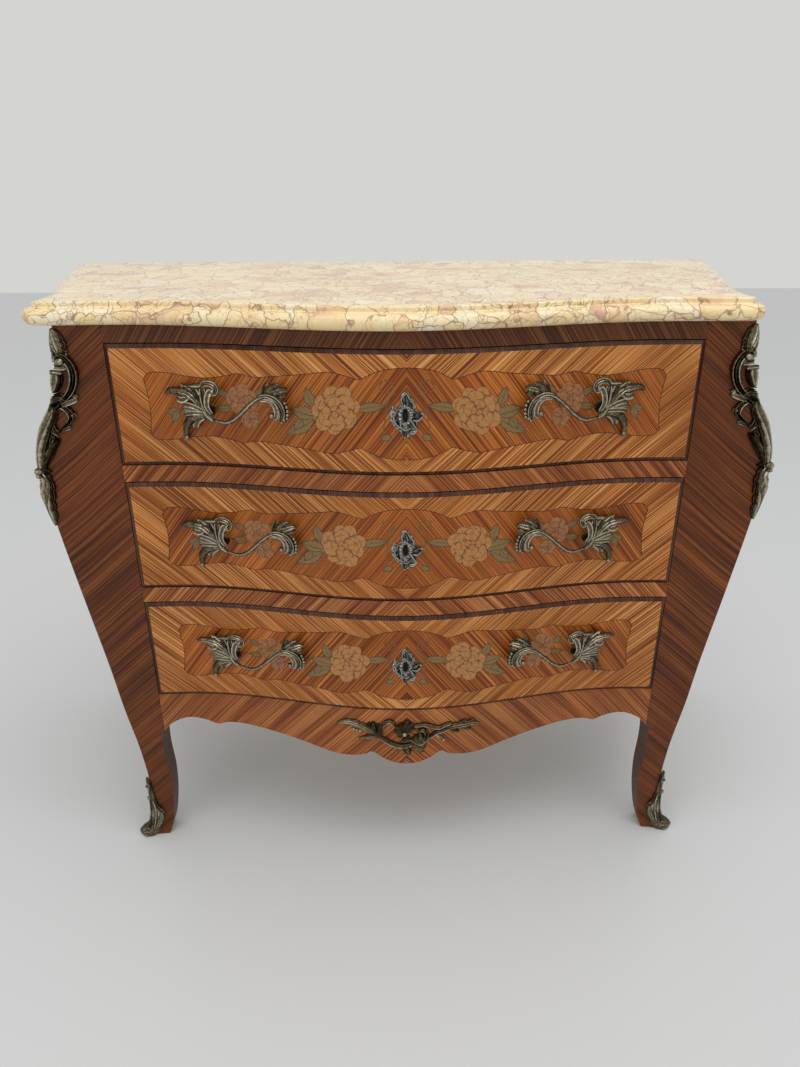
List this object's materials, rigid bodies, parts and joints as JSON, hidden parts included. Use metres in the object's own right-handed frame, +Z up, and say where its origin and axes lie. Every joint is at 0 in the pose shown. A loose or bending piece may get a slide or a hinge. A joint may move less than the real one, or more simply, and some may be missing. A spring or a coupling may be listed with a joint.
{
  "type": "commode chest",
  "caption": "Bombe commode chest with serpentine drawers that slide, a moulded loose marble top, cabriole legs, cast handles, corner mounts and sabots, and working lock bolts.",
  "frame": {"origin": "on the floor, under the middle of the whole part's bounding box", "axes": "+Z up, +X to the right of someone facing the front, +Y from the front to the back"},
  "size_m": [1.0904, 0.4794, 0.873],
  "materials": {
    "carcase_veneer": "striped tulipwood veneer, polished, red-brown",
    "rail_veneer": "striped tulipwood veneer, polished, mid brown",
    "drawer_veneer": "tulipwood and kingwood veneer with flower marquetry, polished, orange-brown",
    "inner_wood": "plain planed deal, unfinished",
    "bronze": "cast brass, patinated olive brown with rubbed highlights",
    "lock_steel": "plain iron lock, dull",
    "marble": "cream marble with rose veins, polished"
  },
  "bodies": {
    "carcase": {"front_stile_right": "carcase_veneer", "front_stile_left": "carcase_veneer", "back_post_right": "carcase_veneer", "back_post_left": "carcase_veneer", "side_panel_right": "carcase_veneer", "side_panel_left": "carcase_veneer", "back_panel": "inner_wood", "top_rail": "rail_veneer", "upper_rail": "rail_veneer", "lower_rail": "rail_veneer", "apron": "rail_veneer", "top_board": "inner_wood", "upper_dust_board": "inner_wood", "lower_dust_board": "inner_wood", "bottom_board": "inner_wood", "drawer_runner_1_right": "inner_wood", "drawer_runner_1_left": "inner_wood", "drawer_runner_2_right": "inner_wood", "drawer_runner_2_left": "inner_wood", "drawer_runner_3_right": "inner_wood", "drawer_runner_3_left": "inner_wood", "corner_mount_right": "bronze", "corner_mount_left": "bronze", "sabot_right": "bronze", "sabot_left": "bronze", "apron_mount": "bronze", "marble_top": "marble"},
    "drawer_1": {"drawer_1_front": "drawer_veneer", "drawer_1_side_right": "inner_wood", "drawer_1_side_left": "inner_wood", "drawer_1_back": "inner_wood", "drawer_1_bottom": "inner_wood", "drawer_1_lock_case": "lock_steel", "drawer_1_escutcheon": "bronze", "drawer_1_handle_left": "bronze", "drawer_1_handle_right": "bronze"},
    "lock_bolt_1": {"drawer_1_lock_bolt": "lock_steel"},
    "drawer_2": {"drawer_2_front": "drawer_veneer", "drawer_2_side_right": "inner_wood", "drawer_2_side_left": "inner_wood", "drawer_2_back": "inner_wood", "drawer_2_bottom": "inner_wood", "drawer_2_lock_case": "lock_steel", "drawer_2_escutcheon": "bronze", "drawer_2_handle_left": "bronze", "drawer_2_handle_right": "bronze"},
    "lock_bolt_2": {"drawer_2_lock_bolt": "lock_steel"},
    "drawer_3": {"drawer_3_front": "drawer_veneer", "drawer_3_side_right": "inner_wood", "drawer_3_side_left": "inner_wood", "drawer_3_back": "inner_wood", "drawer_3_bottom": "inner_wood", "drawer_3_lock_case": "lock_steel", "drawer_3_escutcheon": "bronze", "drawer_3_handle_left": "bronze", "drawer_3_handle_right": "bronze"},
    "lock_bolt_3": {"drawer_3_lock_bolt": "lock_steel"}
  },
  "joints": [
    {"name": "drawer_1_slide", "type": "slide", "parent": "carcase", "child": "drawer_1", "axis": [0, -1, 0], "range_m": [0, 0.28]},
    {"name": "lock_bolt_1_throw", "type": "slide", "parent": "drawer_1", "child": "lock_bolt_1", "axis": [0, 0, 1], "range_m": [0, 0.008]},
    {"name": "drawer_2_slide", "type": "slide", "parent": "carcase", "child": "drawer_2", "axis": [0, -1, 0], "range_m": [0, 0.28]},
    {"name": "lock_bolt_2_throw", "type": "slide", "parent": "drawer_2", "child": "lock_bolt_2", "axis": [0, 0, 1], "range_m": [0, 0.008]},
    {"name": "drawer_3_slide", "type": "slide", "parent": "carcase", "child": "drawer_3", "axis": [0, -1, 0], "range_m": [0, 0.28]},
    {"name": "lock_bolt_3_throw", "type": "slide", "parent": "drawer_3", "child": "lock_bolt_3", "axis": [0, 0, 1], "range_m": [0, 0.008]}
  ]
}
